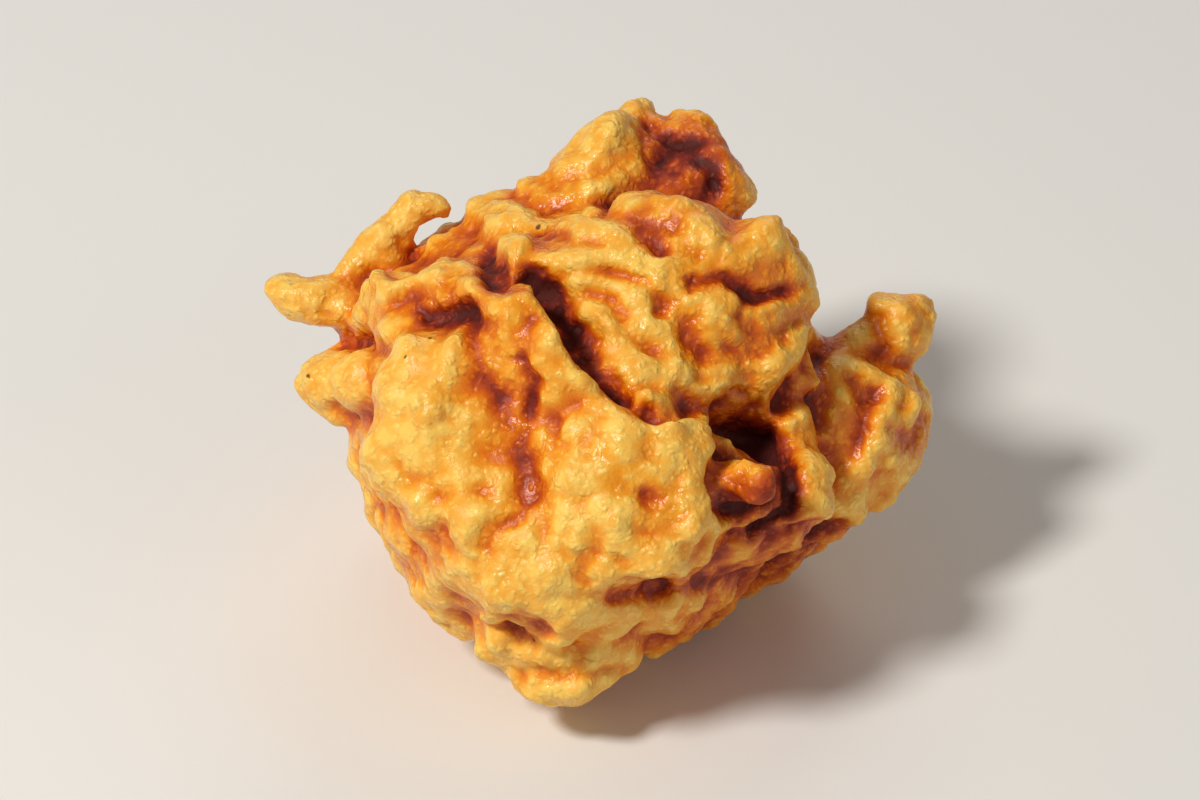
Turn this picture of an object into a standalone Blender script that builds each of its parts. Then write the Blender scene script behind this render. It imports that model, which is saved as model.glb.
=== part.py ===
"""One piece of boneless fried chicken: a chunk of meat in a thick, craggy batter crust, as one solid.

The piece rests on a flat spot at z = 0, and its box is centred on the origin. Its near side is laid out as
someone sees it who stands in front of it (at -Y) and looks down at it by SIGHT_SLOPE: by how far a place lies
to the right and how far up, in mm, with a lift that counts out of the meat's surface. The far side follows a
seeded rule.
"""

import math
import random
from collections import namedtuple

import bmesh
import bpy
import numpy as np
from mathutils import Matrix, Vector, noise

MM = 0.001
NODE = "boneless_chicken"

# Driving dimensions
MEAT_RADII = np.array([19.0, 21.5, 17.6]) * MM
MEAT_HEIGHT = 15.8 * MM
SIGHT_SLOPE = math.radians(37)
MEAT_RIGHT = -2.6 * MM
MEAT_UP = -1.5 * MM

# How the solid is made
UNION_VOXEL = 0.5 * MM
TRIANGLES = 10600
BIG_LUMP = 4.5 * MM
SEED = 11

# The viewer's right, up and towards-the-viewer directions
RIGHT = np.array([1.0, 0.0, 0.0])
UP = np.array([0.0, math.sin(SIGHT_SLOPE), math.cos(SIGHT_SLOPE)])
TOWARD = np.array([0.0, -math.cos(SIGHT_SLOPE), math.sin(SIGHT_SLOPE)])
SIGHT_AXES = np.array([RIGHT, UP, TOWARD])
MEAT_CENTRE = np.array([0.0, 0.0, MEAT_HEIGHT])

# The piece's edge as the viewer sees it (right, up), from the tip of the left horn over the top and round
FRONT_OUTLINE = (
    (-29.6, 10.8), (-23.6, 11.2), (-19.0, 15.6), (-16.4, 18.4), (-13.6, 16.4), (-6.8, 19.0), (-3.4, 22.4),
    (2.4, 25.6), (8.0, 23.6), (10.4, 20.6), (12.6, 16.0), (15.8, 11.4), (16.8, 5.6), (20.4, 7.4), (22.6, 9.4),
    (24.8, 9.8), (26.8, 7.6), (25.0, 4.2), (26.0, 0.6), (25.2, -4.4), (22.4, -8.0), (13.0, -14.6),
    (8.6, -17.0), (3.0, -20.6), (-3.6, -24.2), (-6.4, -23.8), (-10.4, -20.6), (-16.2, -15.8),
    (-19.0, -10.8), (-22.0, -5.0), (-21.8, -2.0), (-25.6, 0.2), (-26.4, 2.8), (-22.6, 6.2),
    (-27.4, 7.4), (-28.9, 9.0),
)
# The outline is followed in this many steps round, by at most this share of the distance from the middle. A
# place starts to move at the first share of that distance, and moves the whole way from the second.
OUTLINE_STEPS = 180
OUTLINE_REACH = 0.2
OUTLINE_RAMP = (0.4, 0.95)

# Big lobes of crust: right, up, lift, half-sizes across, up and towards the viewer, and turn in degrees
LOBES = {
    "upper_dome": (7.4, 9.6, -4.0, 11.8, 9.8, 7.2, -30),
    "top_cap": (-3.0, 12.8, -4.0, 10.5, 5.8, 6.5, 12),
    "rear_bank": (3.8, 18.4, -2.6, 7.6, 4.8, 5.0, 0),
    "left_lobe": (-14.6, -2.6, -2.4, 7.6, 9.4, 5.4, 8),
    "left_shoulder": (-16.2, 6.0, -2.2, 6.4, 4.8, 5.0, 20),
    "middle_lobe": (1.6, -7.0, -1.8, 8.6, 8.0, 6.0, -10),
    "lower_skirt": (-7.4, -13.6, -4.2, 10.4, 6.6, 7.5, -24),
    "chin": (-4.4, -19.6, -1.4, 7.0, 4.6, 5.0, -12),
    "right_flank": (11.0, -10.4, -3.0, 9.8, 4.6, 6.5, 32),
    "right_lobe": (19.6, -1.6, -1.4, 6.8, 7.0, 6.5, 15),
    "fan_foot": (18.6, -6.2, -2.4, 5.6, 4.0, 5.6, 38),
    "pit_wall": (14.8, -2.0, -1.4, 3.2, 4.8, 4.6, 15),
    "fringe_root": (-14.6, 10.6, -3.8, 6.4, 4.2, 5.0, 40),
    "fringe_web": (-17.4, 11.4, -2.2, 3.8, 2.4, 4.6, 42),
    "horn_web": (-20.4, 8.0, -1.6, 3.0, 1.9, 4.4, 8),
    "arch_web": (-9.8, 4.0, -1.6, 4.6, 4.8, 3.2, 20),
}

# Strings and knobs of batter that stand off the meat: points (right, up, lift) with the radius there
STRINGS = {
    "arch": ((-18.0, 8.4, -0.6, 2.6), (-12.6, 9.2, -0.2, 3.0), (-9.0, 8.6, 0.3, 3.2), (-6.2, 6.0, 0.3, 3.3),
             (-3.9, 2.4, -0.6, 3.2)),
    "horn": ((-20.6, 8.4, 0.0, 2.2), (-23.4, 8.8, 0.0, 1.8), (-26.0, 9.0, 0.0, 2.1), (-28.2, 9.9, 0.0, 1.7)),
    "fringe": ((-21.0, 11.0, 0.0, 1.5), (-19.6, 12.8, 0.0, 2.0), (-17.6, 14.8, 0.0, 1.5),
               (-16.2, 16.8, 0.0, 1.6)),
    "nub": ((19.6, 3.0, 0.0, 3.6), (21.0, 4.8, 0.0, 2.8), (22.8, 6.0, 0.0, 2.2), (24.2, 7.0, 0.0, 2.5)),
    "left_knob": ((-20.6, 1.6, 0.0, 3.2), (-23.4, 2.1, 0.0, 2.8)),
    "top_knob": ((-5.4, 18.6, 0.0, 2.4), (-1.4, 21.4, 0.0, 2.1)),
    "rear_knobs": ((9.4, 19.0, 0.0, 2.2), (7.2, 21.0, 0.0, 2.3), (3.8, 21.4, 0.0, 2.0),
                   (2.4, 23.8, 0.0, 1.7)),
    "ball": ((8.6, -5.0, 3.2, 2.3),),
}
STRING_SHARES = (0.0, 0.33, 0.66, 1.0)

# Low folds of the crust, as lines of points on it (right, up) with the radius there
FOLDS = {
    "dome_lip": ((-4.0, 8.9, 1.0), (-2.0, 7.4, 1.2), (-0.2, 5.8, 1.2), (1.6, 4.0, 1.2), (3.2, 1.8, 1.2)),
    "dome_fold": ((-3.8, 12.1, 1.1), (-1.0, 11.7, 1.2), (1.6, 10.6, 1.2), (3.6, 9.0, 1.1)),
    "upper_fold": ((-6.8, 14.8, 1.2), (-3.4, 15.0, 1.2), (0.2, 13.8, 1.2)),
    "middle_fold": ((-2.8, 9.8, 0.9), (-0.4, 9.2, 0.9), (1.6, 7.8, 0.9), (3.2, 6.2, 0.9)),
    "hollow_ridge": ((-10.2, 5.4, 1.0), (-9.2, 3.2, 1.1), (-8.0, 1.0, 1.1), (-7.4, -1.0, 1.0)),
    "skirt_edge": ((-6.4, -15.7, 1.3), (-2.0, -16.1, 1.3), (2.6, -15.8, 1.3), (7.4, -15.4, 1.2)),
    "chin_fold": ((-8.2, -20.0, 1.2), (-4.6, -19.9, 1.3), (-0.6, -20.2, 1.2)),
}
FOLD_SHARES = (0.0, 0.2, 0.4, 0.6, 0.8, 1.0)

# Round bumps on the crust (right, up, radius), lobe by lobe
BUMPS = {
    "middle_lobe": ((-3.4, -1.6, 2.3), (0.8, -3.0, 2.2), (4.6, -3.4, 2.1), (-4.0, -10.0, 2.6),
                    (-0.4, -8.4, 2.2), (6.6, -9.2, 2.2), (3.6, -12.4, 2.9), (-3.6, -5.6, 2.2),
                    (-0.8, -12.8, 2.0), (5.6, -6.6, 1.4)),
    "left_lobe": ((-12.8, -9.2, 2.8), (-20.0, -4.4, 2.4), (-16.0, -9.0, 2.4), (-11.0, -5.6, 2.4),
                  (-14.8, 0.6, 2.6), (-17.0, 4.4, 2.4), (-12.6, 3.4, 2.0)),
    "right_lobe": ((21.4, -0.6, 2.0), (19.8, -5.6, 2.4), (17.6, -2.0, 2.0), (23.2, -4.6, 1.7),
                   (22.4, 1.0, 1.8), (19.8, 2.6, 1.9), (16.4, 1.6, 2.0), (17.0, -8.2, 1.8)),
    "dome": ((7.6, 14.0, 2.6), (11.8, 12.4, 2.6), (12.6, 7.2, 2.0), (8.4, 6.6, 2.2), (12.6, 3.6, 2.4),
             (8.6, 2.6, 2.2), (4.8, 2.6, 1.9), (4.6, 16.0, 2.0), (14.2, 10.6, 1.8)),
    "skirt": ((-14.0, -14.4, 2.6), (-9.6, -14.6, 2.4), (-5.0, -13.8, 2.4), (0.6, -18.0, 2.2),
              (-4.4, -18.2, 2.0), (-6.4, -21.6, 1.9), (-1.8, -21.4, 1.8), (5.0, -17.4, 1.6),
              (-8.8, -18.8, 2.4)),
}
CRUST_SUNK = 0.6

# Creases between the lobes: depth, half-width, height of the lip on the line's right-hand side, and the line
CREASES = {
    "fold": (2.8, 1.0, 0.5, ((-10.4, 10.8), (-6.4, 10.9), (-4.4, 8.3), (-2.4, 5.6), (-0.8, 3.0), (0.7, 0.9),
                             (2.7, 0.0))),
    "fold_end": (1.5, 0.8, 0.0, ((2.7, 0.0), (5.7, 0.2), (9.0, -0.4))),
    "arch_side": (0.7, 0.8, 0.0, ((-15.0, 8.0), (-12.0, 7.4), (-9.6, 6.4))),
    "left": (0.9, 1.2, 0.0, ((-9.3, 0.0), (-7.8, -2.6), (-6.9, -5.6), (-8.2, -8.4), (-10.0, -11.0))),
    "hollow_left": (0.9, 0.8, 0.0, ((-11.2, 6.6), (-10.6, 4.0), (-10.1, 1.7), (-9.2, 0.0))),
    "hollow_right": (1.0, 0.8, 0.0, ((-7.8, 3.7), (-6.5, 1.9), (-6.5, -0.2), (-7.7, -2.6))),
    "pit": (4.6, 1.7, 0.0, ((10.0, -1.0), (11.8, -1.9))),
    "below_pit": (2.4, 1.0, 0.0, ((13.0, -3.0), (14.2, -5.6), (14.2, -8.0), (11.2, -9.8))),
    "beside_ball": (1.8, 0.7, 0.0, ((8.6, -3.2), (7.9, -6.0), (8.6, -8.6))),
    "pock": (1.0, 0.6, 0.0, ((2.8, -6.9), (3.2, -7.1))),
    "skirt_step": (1.2, 0.8, 0.2, ((9.6, -10.4), (8.0, -12.6), (6.0, -14.4), (2.6, -14.9), (0.2, -15.0))),
    "flank_top": (1.0, 0.8, 0.0, ((11.0, -10.2), (15.0, -10.2), (18.6, -9.8))),
    "skirt_fold": (0.5, 0.7, 0.0, ((-9.0, -17.2), (-6.0, -17.3), (-4.6, -16.9))),
    "chin_fold": (0.9, 0.6, 0.0, ((-7.6, -21.2), (-4.0, -20.9), (0.0, -21.2))),
    "fringe": (2.2, 0.9, 0.0, ((-18.4, 10.8), (-15.4, 12.4), (-13.0, 14.6), (-12.2, 17.0))),
    "rear": (2.0, 0.9, 0.0, ((-6.5, 18.4), (-3.0, 19.3), (1.0, 19.6), (4.4, 18.0), (8.6, 16.9),
                             (12.2, 16.6))),
    "neck": (1.8, 1.0, 0.2, ((17.0, 6.6), (16.6, 4.2), (14.4, 1.6), (13.6, 0.4))),
    "stripe": (0.9, 0.55, 0.0, ((-4.1, 10.9), (-0.3, 10.7), (2.3, 9.3), (3.4, 7.8))),
    "lower_stripe": (0.8, 0.5, 0.0, ((-2.4, 8.8), (-0.3, 7.9), (1.4, 6.3), (3.3, 4.6))),
    "upper_stripe": (0.5, 0.5, 0.0, ((-7.1, 12.8), (-4.0, 13.6), (-0.9, 13.0))),
    "dome_mark": (0.8, 0.8, 0.3, ((-1.0, 16.2), (1.4, 14.9), (3.6, 12.6))),
    "dome_ledge": (0.9, 0.6, 0.4, ((6.1, 9.5), (8.7, 10.1), (10.8, 8.9), (14.0, 8.8))),
    "right_notch": (0.8, 0.7, 0.0, ((19.6, 2.8), (20.6, 0.8), (20.2, -2.2))),
}
# How far the creases waver from their lines, and where a lip has its crest and how wide it is, in half-widths
CREASE_WAVER = (4.0, 0.9)
LIP_PLACE = 1.7
LIP_WIDTH = 0.9

# Lumps scattered over the crust. sunk is the share of the radius that lies inside. Where the direction faces
# the viewer by more than near_edge (a cosine), only the share kept_near stays. Their places are jittered by a
# share of their spacing, and their half-sizes vary by these factors along the crust and out of it.
Scatter = namedtuple("Scatter", "count smallest largest sunk near_edge kept_near")
FAR_LOBES = Scatter(26, 5.5, 8.5, 0.62, -0.1, 0.0)
CRAGS = Scatter(190, 2.0, 4.2, 0.55, 0.35, 0.12)
BUBBLES = Scatter(420, 0.9, 1.8, 0.3, 0.3, 0.45)
PLACE_JITTER = 0.9
LUMP_SPREAD = (0.8, 1.35)
LUMP_HEIGHT = (0.6, 1.0)

# Unevenness of the whole crust: size of the swells and how far they move it, then spacing and height of the
# pillows that the batter blew up into, and of the broader ones on the far side
SWELLS = ((14.0, 1.0), (6.0, 0.7), (3.0, 0.4))
PILLOWS = (3.2, 1.15)
FAR_PILLOWS = (9.0, 1.5)
# A pillow's top stands this high over its foot's level, and its place is stirred by this share of the spacing
PILLOW_TOP = 0.3
PILLOW_STIR = 0.35
# Patches where the pillows are high: their size, the usual strength, how much it varies and the least of it
PATCHES = (9.0, 0.65, 1.2, 0.3)
# The pillows lose this share of their height where a crease is deeper than this, in mm
CALM_SHARE = 0.85
CALM_DEPTH = 0.8
# Relief of one side only fades in over this depth
SIDE_DEPTH = 6.0 * MM
# Where in the noise each pattern is taken
NOISE_SHIFTS = {"patches": 4.0, "pillows": 3.1, "far_pillows": 5.2, "across": 6.0, "up": 9.0}


def unit(vector):
    return vector / np.linalg.norm(vector)


def depth_on_meat(right, up):
    """How far towards the viewer the meat's near side lies on this line of sight, or else its rim."""
    across = (right / MEAT_RADII[0]) ** 2
    slope = UP[1:] / MEAT_RADII[1:]
    toward = TOWARD[1:] / MEAT_RADII[1:]
    a = toward @ toward
    b = up * (slope @ toward)
    c = across + up * up * (slope @ slope) - 1
    return (-b + math.sqrt(max(b * b - a * c, 0.0))) / a


def sight_point(right, up, lift):
    """The point that the viewer sees this far right and up, and lift out of the meat's surface, all in mm."""
    across = right * MM - MEAT_RIGHT
    above = up * MM - MEAT_UP
    offset = np.array([across, above, depth_on_meat(across, above)]) @ SIGHT_AXES
    return MEAT_CENTRE + offset + unit(offset / MEAT_RADII**2) * lift * MM


def turned(axes, degrees):
    """The axes turned about the third of them."""
    spin = np.array(Matrix.Rotation(math.radians(degrees), 3, "Z"))
    return spin.T @ axes


def named_lumps():
    """The meat, the big lobes and the strings, as (centre, axes, half-sizes)."""
    lumps = [(MEAT_CENTRE, np.eye(3), MEAT_RADII)]
    for right, up, lift, across, high, deep, turn in LOBES.values():
        centre = sight_point(right, up, lift)
        lumps.append((centre, turned(SIGHT_AXES, turn), np.array([across, high, deep]) * MM))
    for points in STRINGS.values():
        for start, end in zip(points, points[1:] or points):
            for share in STRING_SHARES:
                right, up, lift, radius = np.array(start) + (np.array(end) - np.array(start)) * share
                lumps.append((sight_point(right, up, lift), SIGHT_AXES, np.full(3, radius) * MM))
    return lumps


def crust_point(lumps, origin, direction):
    """Where a ray from the origin leaves the last lump that it crosses, and the normal there."""
    farthest, normal = -1.0, None
    for centre, axes, radii in lumps:
        start = axes @ (origin - centre) / radii
        step = axes @ direction / radii
        a, b, c = step @ step, start @ step, start @ start - 1
        inside = b * b - a * c
        if inside <= 0:
            continue
        along = (-b + math.sqrt(inside)) / a
        if along > farthest:
            farthest = along
            normal = (start + step * along) / radii @ axes
    return origin + direction * farthest, unit(normal)


def lump_on_crust(base, right, up, radius):
    """A round lump, mostly sunk, on the crust that the viewer sees this far right and up."""
    across = np.array([right * MM - MEAT_RIGHT, up * MM - MEAT_UP]) @ SIGHT_AXES[:2]
    point, normal = crust_point(base, MEAT_CENTRE + across, TOWARD)
    return point - normal * radius * CRUST_SUNK * MM, SIGHT_AXES, np.full(3, radius) * MM


def lumps_on_crust(base):
    """The folds and bumps of the near side."""
    lumps = [lump_on_crust(base, *bump) for bumps in BUMPS.values() for bump in bumps]
    for points in FOLDS.values():
        for start, end in zip(np.array(points), np.array(points)[1:]):
            lumps += [lump_on_crust(base, *(start + (end - start) * share)) for share in FOLD_SHARES]
    return lumps


def spread_directions(count, draw):
    """Directions spread evenly over a sphere on a golden spiral, each a little off its place."""
    turn = math.pi * (3 - math.sqrt(5))
    for index in range(count):
        height = 1 - 2 * (index + 0.5) / count
        ring = math.sqrt(1 - height * height)
        point = np.array([ring * math.cos(turn * index), ring * math.sin(turn * index), height])
        jitter = np.array([draw.gauss(0, 1) for _ in range(3)])
        yield unit(point + PLACE_JITTER / math.sqrt(count) * jitter)


def scattered_lumps(base, rule, draw):
    """Uneven lumps spread over the crust that the base lumps make."""
    lumps = []
    for direction in spread_directions(rule.count, draw):
        radius = rule.smallest * (rule.largest / rule.smallest) ** draw.random() * MM
        shape = np.array([draw.uniform(*LUMP_SPREAD), draw.uniform(*LUMP_SPREAD), draw.uniform(*LUMP_HEIGHT)])
        spin = draw.uniform(0, 360)
        keep = draw.random()
        if direction @ TOWARD > rule.near_edge and keep > rule.kept_near:
            continue
        point, normal = crust_point(base, MEAT_CENTRE, direction)
        side = unit(np.cross(normal, [0.31, 0.52, 0.79]))
        axes = turned(np.array([side, np.cross(normal, side), normal]), spin)
        lumps.append((point - normal * radius * rule.sunk, axes, radius * shape))
    return lumps


def ball(subdivisions):
    """Points and triangles of a ball of radius 1."""
    bm = bmesh.new()
    bmesh.ops.create_icosphere(bm, subdivisions=subdivisions, radius=1.0)
    points = np.array([vert.co for vert in bm.verts])
    faces = np.array([[vert.index for vert in face.verts] for face in bm.faces])
    bm.free()
    return points, faces


def mesh_of_lumps(lumps):
    """One mesh that holds every lump as its own closed ellipsoid."""
    small, large = ball(3), ball(5)
    points, faces, count = [], [], 0
    for centre, axes, radii in lumps:
        ball_points, ball_faces = large if max(radii) > BIG_LUMP else small
        points.append(centre + ball_points * radii @ axes)
        faces.append(ball_faces + count)
        count += len(ball_points)
    mesh = bpy.data.meshes.new(NODE)
    mesh.from_pydata(np.concatenate(points), [], np.concatenate(faces))
    return mesh


def evaluated(mesh, *modifiers):
    """The mesh after these modifiers, given as (type, settings)."""
    helper = bpy.data.objects.new("helper", mesh)
    bpy.context.scene.collection.objects.link(helper)
    for kind, settings in modifiers:
        modifier = helper.modifiers.new(kind, kind)
        for name, value in settings.items():
            setattr(modifier, name, value)
    graph = bpy.context.evaluated_depsgraph_get()
    result = bpy.data.meshes.new_from_object(helper.evaluated_get(graph))
    bpy.data.objects.remove(helper)
    bpy.data.meshes.remove(mesh)
    return result


def merged(mesh, voxel, rounds):
    """The mesh as one even skin around all that it holds, smoothed this many rounds, without loose scraps."""
    union = ("REMESH", {"mode": "VOXEL", "voxel_size": voxel})
    mesh = evaluated(mesh, union, ("SMOOTH", {"factor": 0.5, "iterations": rounds}))
    remove_scraps(mesh)
    return mesh


def remove_scraps(mesh):
    """Leaves only the body with the most vertices. A vertex takes the lowest number that it is joined to."""
    ends = np.empty(len(mesh.edges) * 2, np.int32)
    mesh.edges.foreach_get("vertices", ends)
    ends = ends.reshape(-1, 2)
    body = np.arange(len(mesh.vertices))
    settled = False
    while not settled:
        lowest = np.minimum(body[ends[:, 0]], body[ends[:, 1]])
        lower = body.copy()
        np.minimum.at(lower, ends[:, 0], lowest)
        np.minimum.at(lower, ends[:, 1], lowest)
        lower = lower[lower]
        settled = (lower == body).all()
        body = lower
    names, sizes = np.unique(body, return_counts=True)
    scraps = np.flatnonzero(body != names[sizes.argmax()])
    bm = bmesh.new()
    bm.from_mesh(mesh)
    bm.verts.ensure_lookup_table()
    bmesh.ops.delete(bm, geom=[bm.verts[index] for index in scraps], context="VERTS")
    bm.to_mesh(mesh)
    bm.free()


def positions(mesh):
    values = np.empty(len(mesh.vertices) * 3, np.float32)
    mesh.vertices.foreach_get("co", values)
    return values.reshape(-1, 3).astype(float)


def normals(mesh):
    values = np.empty(len(mesh.vertices) * 3, np.float32)
    mesh.vertices.foreach_get("normal", values)
    return values.reshape(-1, 3).astype(float)


def move_to(mesh, points):
    mesh.vertices.foreach_set("co", points.astype(np.float32).ravel())
    mesh.update()


def seen_from_front(points):
    """Each point's place to the viewer, as (right, up), in mm."""
    offset = (points - MEAT_CENTRE) @ SIGHT_AXES.T
    return (offset[:, :2] + [MEAT_RIGHT, MEAT_UP]) / MM


def line_distance(places, line):
    """Each place's distance to the line through these points, in mm, and whether it is on its right."""
    nearest = np.full(len(places), np.inf)
    on_right = np.zeros(len(places), bool)
    for start, end in zip(np.array(line), np.array(line)[1:]):
        along = end - start
        share = np.clip((places - start) @ along / (along @ along), 0, 1)
        away = places - start - share[:, None] * along
        distance = np.linalg.norm(away, axis=1)
        closer = distance < nearest
        nearest[closer] = distance[closer]
        on_right[closer] = along[1] * away[closer, 0] > along[0] * away[closer, 1]
    return nearest, on_right


def swell(mesh):
    """Makes the round lumps uneven by slow swells in all directions."""
    points = positions(mesh)
    moved = points.copy()
    for size, reach in SWELLS:
        moved += np.array([noise.noise_vector(Vector(place)) for place in points / (size * MM)]) * reach * MM
    move_to(mesh, moved)


def outline_radius(angle):
    """How far out the front outline lies at this angle, in mm."""
    ray = np.array([math.cos(angle), math.sin(angle)])
    corners = np.array(FRONT_OUTLINE)
    farthest = 0.0
    for start, end in zip(corners, np.roll(corners, -1, axis=0)):
        edge = end - start
        crossing = ray[0] * edge[1] - ray[1] * edge[0]
        if crossing == 0:
            continue
        along = (start[0] * edge[1] - start[1] * edge[0]) / crossing
        share = (start[0] * ray[1] - start[1] * ray[0]) / crossing
        if 0 <= share <= 1:
            farthest = max(farthest, along)
    return farthest


def fit_outline(mesh):
    """Draws the edge that the viewer sees in or out until it follows the front outline."""
    points = positions(mesh)
    places = seen_from_front(points)
    radius = np.hypot(places[:, 0], places[:, 1])
    step = np.arctan2(places[:, 1], places[:, 0]) % (2 * math.pi) / (2 * math.pi) * OUTLINE_STEPS
    edge = np.zeros(OUTLINE_STEPS)
    np.maximum.at(edge, step.astype(int) % OUTLINE_STEPS, radius)
    angles = (np.arange(OUTLINE_STEPS) + 0.5) / OUTLINE_STEPS * 2 * math.pi
    wanted = np.array([outline_radius(angle) for angle in angles])
    ratio = np.clip(wanted / edge, 1 - OUTLINE_REACH, 1 + OUTLINE_REACH)
    ratio = (np.roll(ratio, 1) + 2 * ratio + np.roll(ratio, -1)) / 4
    around = np.arange(-1, OUTLINE_STEPS + 1)
    ratio_here = np.interp(step, around + 0.5, ratio[around % OUTLINE_STEPS])
    edge_here = np.interp(step, around + 0.5, edge[around % OUTLINE_STEPS])
    share = np.clip((radius / edge_here - OUTLINE_RAMP[0]) / (OUTLINE_RAMP[1] - OUTLINE_RAMP[0]), 0, 1)
    share = share * share * (3 - 2 * share)
    shift = places * ((ratio_here - 1) * share)[:, None] * MM
    move_to(mesh, points + shift @ SIGHT_AXES[:2])


def scalar_noise(points, size, shift):
    offset = Vector((shift, -shift, shift * 2.3))
    return np.array([noise.noise(Vector(place) + offset) for place in points / (size * MM)])


def pillows(points, size, shift):
    """Round bumps with tight valleys between them, about 0 on average."""
    offset = Vector((shift, shift * 1.7, -shift))
    places = [Vector(place) + offset for place in points / (size * MM)]
    stirred = [place + PILLOW_STIR * noise.noise_vector(place) for place in places]
    nearest = np.array([noise.voronoi(place)[0][0] for place in stirred])
    return PILLOW_TOP - nearest**2


def nearness(points):
    """1 on the side that faces the viewer, 0 on the far side."""
    return np.clip((points - MEAT_CENTRE) @ TOWARD / SIDE_DEPTH, 0, 1)


def pillow_rise(points):
    """How far the pillows lift each point, in mm: more in some patches, and broader on the far side."""
    size, usual, unevenness, least = PATCHES
    patch = np.clip(usual + unevenness * scalar_noise(points, size, NOISE_SHIFTS["patches"]), least, 1)
    far = np.clip(-(points - MEAT_CENTRE) @ TOWARD / SIDE_DEPTH, 0, 1)
    size, height = PILLOWS
    rise = height * patch * pillows(points, size, NOISE_SHIFTS["pillows"])
    size, height = FAR_PILLOWS
    return rise + height * far * pillows(points, size, NOISE_SHIFTS["far_pillows"])


def crease_places(points):
    """Each point's place to the viewer, wavering a little, so that the creases don't run too evenly."""
    size, reach = CREASE_WAVER
    waver = [scalar_noise(points, size, NOISE_SHIFTS[name]) for name in ("across", "up")]
    return seen_from_front(points) + np.stack(waver, axis=1) * reach


def crease_press(points):
    """How far the creases press in each point of the near side, and how far their lips lift it, in mm."""
    places = crease_places(points)
    press = np.zeros(len(points))
    lift = np.zeros(len(points))
    for depth, width, lip, line in CREASES.values():
        distance, on_right = line_distance(places, line)
        press = np.maximum(press, depth * np.exp(-((distance / width) ** 2)))
        lift += lip * on_right * np.exp(-(((distance / width - LIP_PLACE) / LIP_WIDTH) ** 2))
    near = nearness(points)
    return press * near, lift * near


def shape_crust(mesh):
    """Raises the pillows and presses in the creases, with calmer pillows along them."""
    points, outward = positions(mesh), normals(mesh)
    press, lift = crease_press(points)
    calm = 1 - CALM_SHARE * np.clip(press / CALM_DEPTH, 0, 1)
    rise = pillow_rise(points) * calm + lift - press
    move_to(mesh, points + outward * (rise * MM)[:, None])


def cut_flat(mesh):
    """Cuts the underside off at z = 0, as one flat face to rest on for each place that reached below it."""
    bm = bmesh.new()
    bm.from_mesh(mesh)
    everything = bm.verts[:] + bm.edges[:] + bm.faces[:]
    floor = {"plane_co": (0, 0, 0), "plane_no": (0, 0, -1)}
    cut = bmesh.ops.bisect_plane(bm, geom=everything, clear_outer=True, **floor)
    rim = [item for item in cut["geom_cut"] if isinstance(item, bmesh.types.BMEdge)]
    bmesh.ops.holes_fill(bm, edges=rim)
    bmesh.ops.recalc_face_normals(bm, faces=bm.faces)
    bm.to_mesh(mesh)
    bm.free()


def centre_on_origin(mesh):
    points = positions(mesh)
    middle = (points.min(axis=0) + points.max(axis=0)) / 2
    move_to(mesh, points - [middle[0], middle[1], 0.0])


def crust_material():
    material = bpy.data.materials.new("crust")
    material.use_nodes = True
    shader = material.node_tree.nodes["Principled BSDF"]
    shader.inputs["Base Color"].default_value = (0.70, 0.34, 0.075, 1.0)
    shader.inputs["Roughness"].default_value = 0.5
    return material


def crust_mesh(voxel):
    """The whole piece before it is thinned out and cut flat."""
    draw = random.Random(SEED)
    noise.seed_set(SEED)
    base = named_lumps()
    base += scattered_lumps(base, FAR_LOBES, draw)
    lumps = base + lumps_on_crust(base)
    lumps += scattered_lumps(base, CRAGS, draw) + scattered_lumps(base, BUBBLES, draw)
    mesh = merged(mesh_of_lumps(lumps), voxel, 3)
    swell(mesh)
    fit_outline(mesh)
    mesh = merged(mesh, voxel, 1)
    shape_crust(mesh)
    return merged(mesh, voxel, 1)


def chicken():
    mesh = crust_mesh(UNION_VOXEL)
    mesh.calc_loop_triangles()
    share = TRIANGLES / len(mesh.loop_triangles)
    mesh = evaluated(mesh, ("DECIMATE", {"ratio": share, "use_collapse_triangulate": True}))
    cut_flat(mesh)
    centre_on_origin(mesh)
    mesh.name = NODE
    mesh.shade_smooth()
    piece = bpy.data.objects.new(NODE, mesh)
    piece.data.materials.append(crust_material())
    bpy.context.scene.collection.objects.link(piece)


for leftover in list(bpy.data.objects):
    bpy.data.objects.remove(leftover)
chicken()
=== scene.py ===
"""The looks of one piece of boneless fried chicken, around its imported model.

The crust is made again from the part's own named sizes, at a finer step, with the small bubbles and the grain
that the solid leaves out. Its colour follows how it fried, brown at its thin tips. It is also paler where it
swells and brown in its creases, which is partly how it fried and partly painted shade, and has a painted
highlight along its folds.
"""

import math
import random
from collections import namedtuple

import bmesh
import bpy
import numpy as np
from mathutils import Matrix, Vector, noise


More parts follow.
